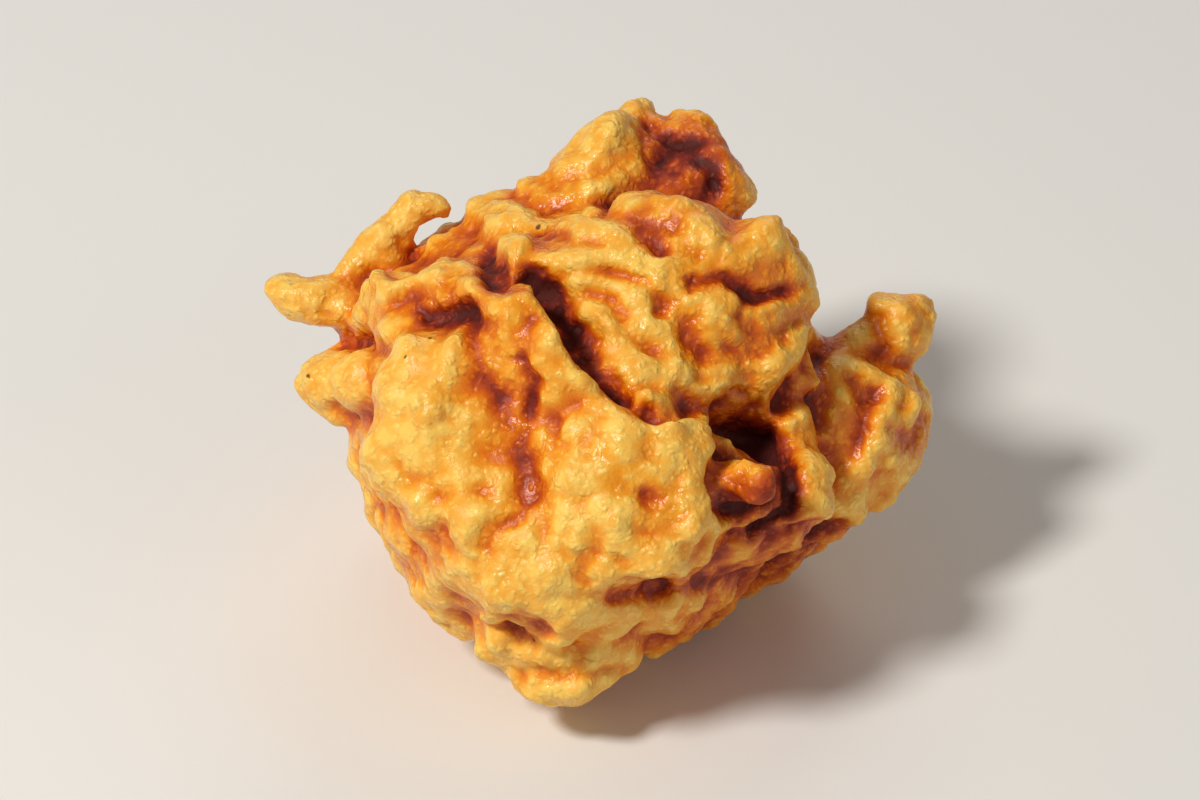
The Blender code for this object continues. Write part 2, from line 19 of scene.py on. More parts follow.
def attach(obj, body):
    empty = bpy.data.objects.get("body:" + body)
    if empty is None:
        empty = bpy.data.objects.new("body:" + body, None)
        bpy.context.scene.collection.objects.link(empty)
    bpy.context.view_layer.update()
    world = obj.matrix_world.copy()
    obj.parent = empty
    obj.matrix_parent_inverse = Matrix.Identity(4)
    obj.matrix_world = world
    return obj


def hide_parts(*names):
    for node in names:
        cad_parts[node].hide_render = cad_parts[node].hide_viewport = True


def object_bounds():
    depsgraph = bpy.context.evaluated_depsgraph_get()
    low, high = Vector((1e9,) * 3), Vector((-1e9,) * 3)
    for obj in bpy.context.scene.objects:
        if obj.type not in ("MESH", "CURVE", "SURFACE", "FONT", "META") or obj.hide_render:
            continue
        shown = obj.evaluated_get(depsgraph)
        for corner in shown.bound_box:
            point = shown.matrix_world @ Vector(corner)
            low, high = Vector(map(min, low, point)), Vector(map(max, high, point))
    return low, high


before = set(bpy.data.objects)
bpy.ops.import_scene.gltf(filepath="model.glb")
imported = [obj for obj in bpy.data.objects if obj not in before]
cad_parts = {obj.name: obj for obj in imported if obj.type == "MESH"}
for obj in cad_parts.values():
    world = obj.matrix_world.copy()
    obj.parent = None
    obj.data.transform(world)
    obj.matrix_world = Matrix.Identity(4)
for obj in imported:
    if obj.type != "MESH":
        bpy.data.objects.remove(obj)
CAD_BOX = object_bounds()

MM = 0.001
NODE = "boneless_chicken"
PIECE = "fried_crust"
# The stored tone holds how each place fried, with painted shade in its hollows and creases
TONE_LAYER = "frying"

# Driving dimensions
MEAT_RADII = np.array([19.0, 21.5, 17.6]) * MM
MEAT_HEIGHT = 15.8 * MM
SIGHT_SLOPE = math.radians(37)
MEAT_RIGHT = -2.6 * MM
MEAT_UP = -1.5 * MM

# A lump is a ball subdivided this often, with the second number where its half-size is over the limit
BALL_SUBDIVISIONS = (3, 5)
BIG_LUMP = 4.5 * MM
# Rounds of smoothing once the lumps are merged, once the outline is fitted and once the creases are pressed
SMOOTH_ROUNDS = {"lumps": 3, "outline": 1, "creases": 1}
SMOOTH_FACTOR = 0.5
SEED = 11

# The viewer's right, up and towards-the-viewer directions
RIGHT = np.array([1.0, 0.0, 0.0])
UP = np.array([0.0, math.sin(SIGHT_SLOPE), math.cos(SIGHT_SLOPE)])
TOWARD = np.array([0.0, -math.cos(SIGHT_SLOPE), math.sin(SIGHT_SLOPE)])
SIGHT_AXES = np.array([RIGHT, UP, TOWARD])
MEAT_CENTRE = np.array([0.0, 0.0, MEAT_HEIGHT])

# The piece's edge as the viewer sees it (right, up), from the tip of the left horn over the top and round
FRONT_OUTLINE = (
    (-29.6, 10.8), (-23.6, 11.2), (-19.0, 15.6), (-16.4, 18.4), (-13.6, 16.4), (-6.8, 19.0), (-3.4, 22.4),
    (2.4, 25.6), (8.0, 23.6), (10.4, 20.6), (12.6, 16.0), (15.8, 11.4), (16.8, 5.6), (20.4, 7.4), (22.6, 9.4),
    (24.8, 9.8), (26.8, 7.6), (25.0, 4.2), (26.0, 0.6), (25.2, -4.4), (22.4, -8.0), (13.0, -14.6),
    (8.6, -17.0), (3.0, -20.6), (-3.6, -24.2), (-6.4, -23.8), (-10.4, -20.6), (-16.2, -15.8),
    (-19.0, -10.8), (-22.0, -5.0), (-21.8, -2.0), (-25.6, 0.2), (-26.4, 2.8), (-22.6, 6.2),
    (-27.4, 7.4), (-28.9, 9.0),
)
# The outline is followed in this many steps round, by at most this share of the distance from the middle. A
# place starts to move at the first share of that distance, and moves the whole way from the second.
OUTLINE_STEPS = 180
OUTLINE_REACH = 0.2
OUTLINE_RAMP = (0.4, 0.95)

# Big lobes of crust: right, up, lift, half-sizes across, up and towards the viewer, and turn in degrees
LOBES = {
    "upper_dome": (7.4, 9.6, -4.0, 11.8, 9.8, 7.2, -30),
    "top_cap": (-3.0, 12.8, -4.0, 10.5, 5.8, 6.5, 12),
    "rear_bank": (3.8, 18.4, -2.6, 7.6, 4.8, 5.0, 0),
    "left_lobe": (-14.6, -2.6, -2.4, 7.6, 9.4, 5.4, 8),
    "left_shoulder": (-16.2, 6.0, -2.2, 6.4, 4.8, 5.0, 20),
    "middle_lobe": (1.6, -7.0, -1.8, 8.6, 8.0, 6.0, -10),
    "lower_skirt": (-7.4, -13.6, -4.2, 10.4, 6.6, 7.5, -24),
    "chin": (-4.4, -19.6, -1.4, 7.0, 4.6, 5.0, -12),
    "right_flank": (11.0, -10.4, -3.0, 9.8, 4.6, 6.5, 32),
    "right_lobe": (19.6, -1.6, -1.4, 6.8, 7.0, 6.5, 15),
    "fan_foot": (18.6, -6.2, -2.4, 5.6, 4.0, 5.6, 38),
    "pit_wall": (14.8, -2.0, -1.4, 3.2, 4.8, 4.6, 15),
    "fringe_root": (-14.6, 10.6, -3.8, 6.4, 4.2, 5.0, 40),
    "fringe_web": (-17.4, 11.4, -2.2, 3.8, 2.4, 4.6, 42),
    "horn_web": (-20.4, 8.0, -1.6, 3.0, 1.9, 4.4, 8),
    "arch_web": (-9.8, 4.0, -1.6, 4.6, 4.8, 3.2, 20),
}

# Strings and knobs of batter that stand off the meat: points (right, up, lift) with the radius there
STRINGS = {
    "arch": ((-18.0, 8.4, -0.6, 2.6), (-12.6, 9.2, -0.2, 3.0), (-9.0, 8.6, 0.3, 3.2), (-6.2, 6.0, 0.3, 3.3),
             (-3.9, 2.4, -0.6, 3.2)),
    "horn": ((-20.6, 8.4, 0.0, 2.2), (-23.4, 8.8, 0.0, 1.8), (-26.0, 9.0, 0.0, 2.1), (-28.2, 9.9, 0.0, 1.7)),
    "fringe": ((-21.0, 11.0, 0.0, 1.5), (-19.6, 12.8, 0.0, 2.0), (-17.6, 14.8, 0.0, 1.5),
               (-16.2, 16.8, 0.0, 1.6)),
    "nub": ((19.6, 3.0, 0.0, 3.6), (21.0, 4.8, 0.0, 2.8), (22.8, 6.0, 0.0, 2.2), (24.2, 7.0, 0.0, 2.5)),
    "left_knob": ((-20.6, 1.6, 0.0, 3.2), (-23.4, 2.1, 0.0, 2.8)),
    "top_knob": ((-5.4, 18.6, 0.0, 2.4), (-1.4, 21.4, 0.0, 2.1)),
    "rear_knobs": ((9.4, 19.0, 0.0, 2.2), (7.2, 21.0, 0.0, 2.3), (3.8, 21.4, 0.0, 2.0),
                   (2.4, 23.8, 0.0, 1.7)),
    "ball": ((8.6, -5.0, 3.2, 2.3),),
}
# Where a string has its lumps between two of its points
STRING_SHARES = (0.0, 0.33, 0.66, 1.0)

# Low folds of the crust, as lines of points on it (right, up) with the radius there
FOLDS = {
    "dome_lip": ((-4.0, 8.9, 1.0), (-2.0, 7.4, 1.2), (-0.2, 5.8, 1.2), (1.6, 4.0, 1.2), (3.2, 1.8, 1.2)),
    "dome_fold": ((-3.8, 12.1, 1.1), (-1.0, 11.7, 1.2), (1.6, 10.6, 1.2), (3.6, 9.0, 1.1)),
    "upper_fold": ((-6.8, 14.8, 1.2), (-3.4, 15.0, 1.2), (0.2, 13.8, 1.2)),
    "middle_fold": ((-2.8, 9.8, 0.9), (-0.4, 9.2, 0.9), (1.6, 7.8, 0.9), (3.2, 6.2, 0.9)),
    "hollow_ridge": ((-10.2, 5.4, 1.0), (-9.2, 3.2, 1.1), (-8.0, 1.0, 1.1), (-7.4, -1.0, 1.0)),
    "skirt_edge": ((-6.4, -15.7, 1.3), (-2.0, -16.1, 1.3), (2.6, -15.8, 1.3), (7.4, -15.4, 1.2)),
    "chin_fold": ((-8.2, -20.0, 1.2), (-4.6, -19.9, 1.3), (-0.6, -20.2, 1.2)),
}
# Where a fold has its lumps between two of its points
FOLD_SHARES = (0.0, 0.2, 0.4, 0.6, 0.8, 1.0)

# Round bumps on the crust (right, up, radius), lobe by lobe
BUMPS = {
    "middle_lobe": ((-3.4, -1.6, 2.3), (0.8, -3.0, 2.2), (4.6, -3.4, 2.1), (-4.0, -10.0, 2.6),
                    (-0.4, -8.4, 2.2), (6.6, -9.2, 2.2), (3.6, -12.4, 2.9), (-3.6, -5.6, 2.2),
                    (-0.8, -12.8, 2.0), (5.6, -6.6, 1.4)),
    "left_lobe": ((-12.8, -9.2, 2.8), (-20.0, -4.4, 2.4), (-16.0, -9.0, 2.4), (-11.0, -5.6, 2.4),
                  (-14.8, 0.6, 2.6), (-17.0, 4.4, 2.4), (-12.6, 3.4, 2.0)),
    "right_lobe": ((21.4, -0.6, 2.0), (19.8, -5.6, 2.4), (17.6, -2.0, 2.0), (23.2, -4.6, 1.7),
                   (22.4, 1.0, 1.8), (19.8, 2.6, 1.9), (16.4, 1.6, 2.0), (17.0, -8.2, 1.8)),
    "dome": ((7.6, 14.0, 2.6), (11.8, 12.4, 2.6), (12.6, 7.2, 2.0), (8.4, 6.6, 2.2), (12.6, 3.6, 2.4),
             (8.6, 2.6, 2.2), (4.8, 2.6, 1.9), (4.6, 16.0, 2.0), (14.2, 10.6, 1.8)),
    "skirt": ((-14.0, -14.4, 2.6), (-9.6, -14.6, 2.4), (-5.0, -13.8, 2.4), (0.6, -18.0, 2.2),
              (-4.4, -18.2, 2.0), (-6.4, -21.6, 1.9), (-1.8, -21.4, 1.8), (5.0, -17.4, 1.6),
              (-8.8, -18.8, 2.4)),
}
# How deep the lumps of folds and bumps sink into the crust, as a share of their radius
CRUST_SUNK = 0.6

# Creases between the lobes: depth, half-width, height of the lip on the line's right-hand side, and the line
CREASES = {
    "fold": (2.8, 1.0, 0.5, ((-10.4, 10.8), (-6.4, 10.9), (-4.4, 8.3), (-2.4, 5.6), (-0.8, 3.0), (0.7, 0.9),
                             (2.7, 0.0))),
    "fold_end": (1.5, 0.8, 0.0, ((2.7, 0.0), (5.7, 0.2), (9.0, -0.4))),
    "arch_side": (0.7, 0.8, 0.0, ((-15.0, 8.0), (-12.0, 7.4), (-9.6, 6.4))),
    "left": (0.9, 1.2, 0.0, ((-9.3, 0.0), (-7.8, -2.6), (-6.9, -5.6), (-8.2, -8.4), (-10.0, -11.0))),
    "hollow_left": (0.9, 0.8, 0.0, ((-11.2, 6.6), (-10.6, 4.0), (-10.1, 1.7), (-9.2, 0.0))),
    "hollow_right": (1.0, 0.8, 0.0, ((-7.8, 3.7), (-6.5, 1.9), (-6.5, -0.2), (-7.7, -2.6))),
    "pit": (4.6, 1.7, 0.0, ((10.0, -1.0), (11.8, -1.9))),
    "below_pit": (2.4, 1.0, 0.0, ((13.0, -3.0), (14.2, -5.6), (14.2, -8.0), (11.2, -9.8))),
    "beside_ball": (1.8, 0.7, 0.0, ((8.6, -3.2), (7.9, -6.0), (8.6, -8.6))),
    "pock": (1.0, 0.6, 0.0, ((2.8, -6.9), (3.2, -7.1))),
    "skirt_step": (1.2, 0.8, 0.2, ((9.6, -10.4), (8.0, -12.6), (6.0, -14.4), (2.6, -14.9), (0.2, -15.0))),
    "flank_top": (1.0, 0.8, 0.0, ((11.0, -10.2), (15.0, -10.2), (18.6, -9.8))),
    "skirt_fold": (0.5, 0.7, 0.0, ((-9.0, -17.2), (-6.0, -17.3), (-4.6, -16.9))),
    "chin_fold": (0.9, 0.6, 0.0, ((-7.6, -21.2), (-4.0, -20.9), (0.0, -21.2))),
    "fringe": (2.2, 0.9, 0.0, ((-18.4, 10.8), (-15.4, 12.4), (-13.0, 14.6), (-12.2, 17.0))),
    "rear": (2.0, 0.9, 0.0, ((-6.5, 18.4), (-3.0, 19.3), (1.0, 19.6), (4.4, 18.0), (8.6, 16.9),
                             (12.2, 16.6))),
    "neck": (1.8, 1.0, 0.2, ((17.0, 6.6), (16.6, 4.2), (14.4, 1.6), (13.6, 0.4))),
    "stripe": (0.9, 0.55, 0.0, ((-4.1, 10.9), (-0.3, 10.7), (2.3, 9.3), (3.4, 7.8))),
    "lower_stripe": (0.8, 0.5, 0.0, ((-2.4, 8.8), (-0.3, 7.9), (1.4, 6.3), (3.3, 4.6))),
    "upper_stripe": (0.5, 0.5, 0.0, ((-7.1, 12.8), (-4.0, 13.6), (-0.9, 13.0))),
    "dome_mark": (0.8, 0.8, 0.3, ((-1.0, 16.2), (1.4, 14.9), (3.6, 12.6))),
    "dome_ledge": (0.9, 0.6, 0.4, ((6.1, 9.5), (8.7, 10.1), (10.8, 8.9), (14.0, 8.8))),
    "right_notch": (0.8, 0.7, 0.0, ((19.6, 2.8), (20.6, 0.8), (20.2, -2.2))),
}
# How far the creases waver from their lines, and where a lip has its crest and how wide it is, in half-widths
CREASE_WAVER = (4.0, 0.9)
LIP_PLACE = 1.7
LIP_WIDTH = 0.9

# Lumps scattered over the crust. sunk is the share of the radius that lies inside. Where the direction faces
# the viewer by more than near_edge (a cosine), only the share kept_near stays. Their places are jittered by a
# share of their spacing, and their half-sizes vary by these factors along the crust and out of it.
Scatter = namedtuple("Scatter", "count smallest largest sunk near_edge kept_near")
FAR_LOBES = Scatter(26, 5.5, 8.5, 0.62, -0.1, 0.0)
CRAGS = Scatter(190, 2.0, 4.2, 0.55, 0.35, 0.12)
BUBBLES = Scatter(420, 0.9, 1.8, 0.3, 0.3, 0.45)
PLACE_JITTER = 0.9
LUMP_SPREAD = (0.8, 1.35)
LUMP_HEIGHT = (0.6, 1.0)
# A direction to turn the lumps' sides from, along which no crust faces exactly
SIDE_HINT = (0.31, 0.52, 0.79)

# Unevenness of the whole crust: size of the swells and how far they move it, then spacing and height of the
# pillows that the batter blew up into, and of the broader ones on the far side
SWELLS = ((14.0, 1.0), (6.0, 0.7), (3.0, 0.4))
PILLOWS = (3.2, 1.15)
FAR_PILLOWS = (9.0, 1.5)
# A pillow's top stands this high over its foot's level, and its place is stirred by this share of the spacing
PILLOW_TOP = 0.3
PILLOW_STIR = 0.35
# Patches where the pillows are high: their size, the usual strength, how much it varies and the least of it
PATCHES = (9.0, 0.65, 1.2, 0.3)
# The pillows lose this share of their height where a crease is deeper than this, in mm
CALM_SHARE = 0.85
CALM_DEPTH = 0.8
# Relief of one side only fades in over this depth
SIDE_DEPTH = 6.0 * MM
# Where in the noise each pattern is taken, and the directions that those shifts follow
NOISE_SHIFTS = {"patches": 4.0, "pillows": 3.1, "far_pillows": 5.2, "across": 6.0, "up": 9.0}
NOISE_DIRECTION = (1.0, -1.0, 2.3)
PILLOW_DIRECTION = (1.0, 1.7, -1.0)


def unit(vector):
    """The vector's direction, with length 1."""
    return vector / np.linalg.norm(vector)


def depth_on_meat(right, up):
    """How far towards the viewer the meat's near side lies on this line of sight, or else its rim."""
    across = (right / MEAT_RADII[0]) ** 2
    slope = UP[1:] / MEAT_RADII[1:]
    toward = TOWARD[1:] / MEAT_RADII[1:]
    a = toward @ toward
    b = up * (slope @ toward)
    c = across + up * up * (slope @ slope) - 1
    return (-b + math.sqrt(max(b * b - a * c, 0.0))) / a


def sight_point(right, up, lift):
    """The point that the viewer sees this far right and up, and lift out of the meat's surface, all in mm."""
    across = right * MM - MEAT_RIGHT
    above = up * MM - MEAT_UP
    offset = np.array([across, above, depth_on_meat(across, above)]) @ SIGHT_AXES
    return MEAT_CENTRE + offset + unit(offset / MEAT_RADII**2) * lift * MM


def turned(axes, degrees):
    """The axes turned about the third of them."""
    spin = np.array(Matrix.Rotation(math.radians(degrees), 3, "Z"))
    return spin.T @ axes


def named_lumps():
    """The meat, the big lobes and the strings, as (centre, axes, half-sizes)."""
    lumps = [(MEAT_CENTRE, np.eye(3), MEAT_RADII)]
    for right, up, lift, across, high, deep, turn in LOBES.values():
        centre = sight_point(right, up, lift)
        lumps.append((centre, turned(SIGHT_AXES, turn), np.array([across, high, deep]) * MM))
    for points in STRINGS.values():
        for start, end in zip(points, points[1:] or points):
            for share in STRING_SHARES:
                right, up, lift, radius = np.array(start) + (np.array(end) - np.array(start)) * share
                lumps.append((sight_point(right, up, lift), SIGHT_AXES, np.full(3, radius) * MM))
    return lumps


def crust_point(lumps, origin, direction):
    """Where a ray from the origin leaves the last lump that it crosses, and the normal there."""
    farthest, normal = -1.0, None
    for centre, axes, radii in lumps:
        start = axes @ (origin - centre) / radii
        step = axes @ direction / radii
        a, b, c = step @ step, start @ step, start @ start - 1
        inside = b * b - a * c
        if inside <= 0:
            continue
        along = (-b + math.sqrt(inside)) / a
        if along > farthest:
            farthest = along
            normal = (start + step * along) / radii @ axes
    return origin + direction * farthest, unit(normal)


def lump_on_crust(base, right, up, radius):
    """A round lump, mostly sunk, on the crust that the viewer sees this far right and up."""
    across = np.array([right * MM - MEAT_RIGHT, up * MM - MEAT_UP]) @ SIGHT_AXES[:2]
    point, normal = crust_point(base, MEAT_CENTRE + across, TOWARD)
    return point - normal * radius * CRUST_SUNK * MM, SIGHT_AXES, np.full(3, radius) * MM


def lumps_on_crust(base):
    """The folds and bumps of the near side."""
    lumps = [lump_on_crust(base, *bump) for bumps in BUMPS.values() for bump in bumps]
    for points in FOLDS.values():
        for start, end in zip(np.array(points), np.array(points)[1:]):
            lumps += [lump_on_crust(base, *(start + (end - start) * share)) for share in FOLD_SHARES]
    return lumps


def spread_directions(count, draw):
    """Directions spread evenly over a sphere on a golden spiral, each a little off its place."""
    turn = math.pi * (3 - math.sqrt(5))
    for index in range(count):
        height = 1 - 2 * (index + 0.5) / count
        ring = math.sqrt(1 - height * height)
        point = np.array([ring * math.cos(turn * index), ring * math.sin(turn * index), height])
        jitter = np.array([draw.gauss(0, 1) for _ in range(3)])
        yield unit(point + PLACE_JITTER / math.sqrt(count) * jitter)


def scattered_lumps(base, rule, draw):
    """Uneven lumps spread over the crust that the base lumps make."""
    lumps = []
    for direction in spread_directions(rule.count, draw):
        radius = rule.smallest * (rule.largest / rule.smallest) ** draw.random() * MM
        shape = np.array([draw.uniform(*LUMP_SPREAD), draw.uniform(*LUMP_SPREAD), draw.uniform(*LUMP_HEIGHT)])
        spin = draw.uniform(0, 360)
        keep = draw.random()
        if direction @ TOWARD > rule.near_edge and keep > rule.kept_near:
            continue
        point, normal = crust_point(base, MEAT_CENTRE, direction)
        side = unit(np.cross(normal, SIDE_HINT))
        axes = turned(np.array([side, np.cross(normal, side), normal]), spin)
        lumps.append((point - normal * radius * rule.sunk, axes, radius * shape))
    return lumps


def ball(subdivisions):
    """Points and triangles of a ball of radius 1."""
    bm = bmesh.new()
    bmesh.ops.create_icosphere(bm, subdivisions=subdivisions, radius=1.0)
    points = np.array([vert.co for vert in bm.verts])
    faces = np.array([[vert.index for vert in face.verts] for face in bm.faces])
    bm.free()
    return points, faces


def mesh_of_lumps(lumps):
    """One mesh that holds every lump as its own closed ellipsoid."""
    small, large = (ball(subdivisions) for subdivisions in BALL_SUBDIVISIONS)
    points, faces, count = [], [], 0
    for centre, axes, radii in lumps:
        ball_points, ball_faces = large if max(radii) > BIG_LUMP else small
        points.append(centre + ball_points * radii @ axes)
        faces.append(ball_faces + count)
        count += len(ball_points)
    mesh = bpy.data.meshes.new(NODE)
    mesh.from_pydata(np.concatenate(points), [], np.concatenate(faces))
    return mesh


def evaluated(mesh, *modifiers):
    """The mesh after these modifiers, given as (type, settings)."""
    helper = bpy.data.objects.new("helper", mesh)
    bpy.context.scene.collection.objects.link(helper)
    for kind, settings in modifiers:
        modifier = helper.modifiers.new(kind, kind)
        for name, value in settings.items():
            setattr(modifier, name, value)
    graph = bpy.context.evaluated_depsgraph_get()
    result = bpy.data.meshes.new_from_object(helper.evaluated_get(graph))
    bpy.data.objects.remove(helper)
    bpy.data.meshes.remove(mesh)
    return result


def merged(mesh, voxel, rounds):
    """The mesh as one even skin around all that it holds, smoothed this many rounds, without loose scraps."""
    union = ("REMESH", {"mode": "VOXEL", "voxel_size": voxel})
    mesh = evaluated(mesh, union, ("SMOOTH", {"factor": SMOOTH_FACTOR, "iterations": rounds}))
    remove_scraps(mesh)
    return mesh


def edge_ends(mesh):
    """The two vertices of each edge."""
    ends = np.empty(len(mesh.edges) * 2, np.int32)
    mesh.edges.foreach_get("vertices", ends)
    return ends.reshape(-1, 2)


def remove_scraps(mesh):
    """Leaves only the body with the most vertices. A vertex takes the lowest number that it is joined to."""
    ends = edge_ends(mesh)
    body = np.arange(len(mesh.vertices))
    settled = False
    while not settled:
        lowest = np.minimum(body[ends[:, 0]], body[ends[:, 1]])
        lower = body.copy()
        np.minimum.at(lower, ends[:, 0], lowest)
        np.minimum.at(lower, ends[:, 1], lowest)
        lower = lower[lower]
        settled = (lower == body).all()
        body = lower
    names, sizes = np.unique(body, return_counts=True)
    scraps = np.flatnonzero(body != names[sizes.argmax()])
    bm = bmesh.new()
    bm.from_mesh(mesh)
    bm.verts.ensure_lookup_table()
    bmesh.ops.delete(bm, geom=[bm.verts[index] for index in scraps], context="VERTS")
    bm.to_mesh(mesh)
    bm.free()


def positions(mesh):
    """Each vertex's place, in metres."""
    values = np.empty(len(mesh.vertices) * 3, np.float32)
    mesh.vertices.foreach_get("co", values)
    return values.reshape(-1, 3).astype(float)


def normals(mesh):
    """Each vertex's outward direction."""
    values = np.empty(len(mesh.vertices) * 3, np.float32)
    mesh.vertices.foreach_get("normal", values)
    return values.reshape(-1, 3).astype(float)


def move_to(mesh, points):
    """Puts the vertices at these places."""
    mesh.vertices.foreach_set("co", points.astype(np.float32).ravel())
    mesh.update()


def seen_from_front(points):
    """Each point's place to the viewer, as (right, up), in mm."""
    offset = (points - MEAT_CENTRE) @ SIGHT_AXES.T
    return (offset[:, :2] + [MEAT_RIGHT, MEAT_UP]) / MM


def line_distance(places, line):
    """Each place's distance to the line through these points, in mm, and whether it is on its right."""
    nearest = np.full(len(places), np.inf)
    on_right = np.zeros(len(places), bool)
    for start, end in zip(np.array(line), np.array(line)[1:]):
        along = end - start
        share = np.clip((places - start) @ along / (along @ along), 0, 1)
        away = places - start - share[:, None] * along
        distance = np.linalg.norm(away, axis=1)
        closer = distance < nearest
        nearest[closer] = distance[closer]
        on_right[closer] = along[1] * away[closer, 0] > along[0] * away[closer, 1]
    return nearest, on_right


def swell(mesh):
    """Makes the round lumps uneven by slow swells in all directions."""
    points = positions(mesh)
    moved = points.copy()
    for size, reach in SWELLS:
        moved += np.array([noise.noise_vector(Vector(place)) for place in points / (size * MM)]) * reach * MM
    move_to(mesh, moved)


def outline_radius(angle):
    """How far out the front outline lies at this angle, in mm."""
    ray = np.array([math.cos(angle), math.sin(angle)])
    corners = np.array(FRONT_OUTLINE)
    farthest = 0.0
    for start, end in zip(corners, np.roll(corners, -1, axis=0)):
        edge = end - start
        crossing = ray[0] * edge[1] - ray[1] * edge[0]
        if crossing == 0:
            continue
        along = (start[0] * edge[1] - start[1] * edge[0]) / crossing
        share = (start[0] * ray[1] - start[1] * ray[0]) / crossing
        if 0 <= share <= 1:
            farthest = max(farthest, along)
    return farthest


def fit_outline(mesh):
    """Draws the edge that the viewer sees in or out until it follows the front outline."""
    points = positions(mesh)
    places = seen_from_front(points)
    radius = np.hypot(places[:, 0], places[:, 1])
    step = np.arctan2(places[:, 1], places[:, 0]) % (2 * math.pi) / (2 * math.pi) * OUTLINE_STEPS
    edge = np.zeros(OUTLINE_STEPS)
    np.maximum.at(edge, step.astype(int) % OUTLINE_STEPS, radius)
    angles = (np.arange(OUTLINE_STEPS) + 0.5) / OUTLINE_STEPS * 2 * math.pi
    wanted = np.array([outline_radius(angle) for angle in angles])
    ratio = np.clip(wanted / edge, 1 - OUTLINE_REACH, 1 + OUTLINE_REACH)
    ratio = (np.roll(ratio, 1) + 2 * ratio + np.roll(ratio, -1)) / 4
    around = np.arange(-1, OUTLINE_STEPS + 1)
    ratio_here = np.interp(step, around + 0.5, ratio[around % OUTLINE_STEPS])
    edge_here = np.interp(step, around + 0.5, edge[around % OUTLINE_STEPS])
    share = np.clip((radius / edge_here - OUTLINE_RAMP[0]) / (OUTLINE_RAMP[1] - OUTLINE_RAMP[0]), 0, 1)
    share = share * share * (3 - 2 * share)
    shift = places * ((ratio_here - 1) * share)[:, None] * MM
    move_to(mesh, points + shift @ SIGHT_AXES[:2])


def scalar_noise(points, size, shift):
    """Smooth noise from about -1 to 1, with swells of this size in mm."""
    offset = Vector([shift * part for part in NOISE_DIRECTION])
    return np.array([noise.noise(Vector(place) + offset) for place in points / (size * MM)])


def pillows(points, size, shift):
    """Round bumps with tight valleys between them, about 0 on average."""
    offset = Vector([shift * part for part in PILLOW_DIRECTION])
    places = [Vector(place) + offset for place in points / (size * MM)]
    stirred = [place + PILLOW_STIR * noise.noise_vector(place) for place in places]
    nearest = np.array([noise.voronoi(place)[0][0] for place in stirred])
    return PILLOW_TOP - nearest**2


def nearness(points):
    """1 on the side that faces the viewer, 0 on the far side."""
    return np.clip((points - MEAT_CENTRE) @ TOWARD / SIDE_DEPTH, 0, 1)


def pillow_rise(points):
    """How far the pillows lift each point, in mm: more in some patches, and broader on the far side."""
    size, usual, unevenness, least = PATCHES
    patch = np.clip(usual + unevenness * scalar_noise(points, size, NOISE_SHIFTS["patches"]), least, 1)
    far = np.clip(-(points - MEAT_CENTRE) @ TOWARD / SIDE_DEPTH, 0, 1)
    size, height = PILLOWS
    rise = height * patch * pillows(points, size, NOISE_SHIFTS["pillows"])
    size, height = FAR_PILLOWS
    return rise + height * far * pillows(points, size, NOISE_SHIFTS["far_pillows"])


def crease_places(points):
    """Each point's place to the viewer, wavering a little, so that the creases don't run too evenly."""
    size, reach = CREASE_WAVER
    waver = [scalar_noise(points, size, NOISE_SHIFTS[name]) for name in ("across", "up")]
    return seen_from_front(points) + np.stack(waver, axis=1) * reach


def crease_press(points):
    """How far the creases press in each point of the near side, and how far their lips lift it, in mm."""
    places = crease_places(points)
    press = np.zeros(len(points))
    lift = np.zeros(len(points))
    for depth, width, lip, line in CREASES.values():
        distance, on_right = line_distance(places, line)
        press = np.maximum(press, depth * np.exp(-((distance / width) ** 2)))
        lift += lip * on_right * np.exp(-(((distance / width - LIP_PLACE) / LIP_WIDTH) ** 2))
    near = nearness(points)
    return press * near, lift * near


def shape_crust(mesh):
    """Raises the pillows and presses in the creases, with calmer pillows along them."""
    points, outward = positions(mesh), normals(mesh)
    press, lift = crease_press(points)
    calm = 1 - CALM_SHARE * np.clip(press / CALM_DEPTH, 0, 1)
    rise = pillow_rise(points) * calm + lift - press
    move_to(mesh, points + outward * (rise * MM)[:, None])


def cut_flat(mesh):
    """Cuts the underside off at z = 0, as one flat face to rest on for each place that reached below it."""
    bm = bmesh.new()
    bm.from_mesh(mesh)
    everything = bm.verts[:] + bm.edges[:] + bm.faces[:]
    floor = {"plane_co": (0, 0, 0), "plane_no": (0, 0, -1)}
    cut = bmesh.ops.bisect_plane(bm, geom=everything, clear_outer=True, **floor)
    rim = [item for item in cut["geom_cut"] if isinstance(item, bmesh.types.BMEdge)]
    bmesh.ops.holes_fill(bm, edges=rim)
    bmesh.ops.recalc_face_normals(bm, faces=bm.faces)
    bm.to_mesh(mesh)
    bm.free()


def crust_mesh(voxel):
    """The whole piece before it is cut flat."""
    draw = random.Random(SEED)
    noise.seed_set(SEED)
    base = named_lumps()
    base += scattered_lumps(base, FAR_LOBES, draw)
    lumps = base + lumps_on_crust(base)
    lumps += scattered_lumps(base, CRAGS, draw) + scattered_lumps(base, BUBBLES, draw)
    mesh = merged(mesh_of_lumps(lumps), voxel, SMOOTH_ROUNDS["lumps"])
    swell(mesh)
    fit_outline(mesh)
    mesh = merged(mesh, voxel, SMOOTH_ROUNDS["outline"])
    shape_crust(mesh)
    return merged(mesh, voxel, SMOOTH_ROUNDS["creases"])


# The finer skin: its step, then spacing and height of the small bubbles and of the grain, in mm
SKIN_VOXEL = 0.35 * MM
SMALL_BUBBLES = (1.5, 0.5)
GRAIN = (0.9, 0.10)
# Patches where the small bubbles are high: size, usual strength, how much that varies, and the least of it
BUBBLE_PATCHES = (6.0, 0.6, 1.6, 0.15)
# Where in the noise each of the skin's own patterns is taken
SKIN_SHIFTS = {"patches": 7.0, "bubbles": 8.3, "grain": 2.0, "mottling": 1.3}
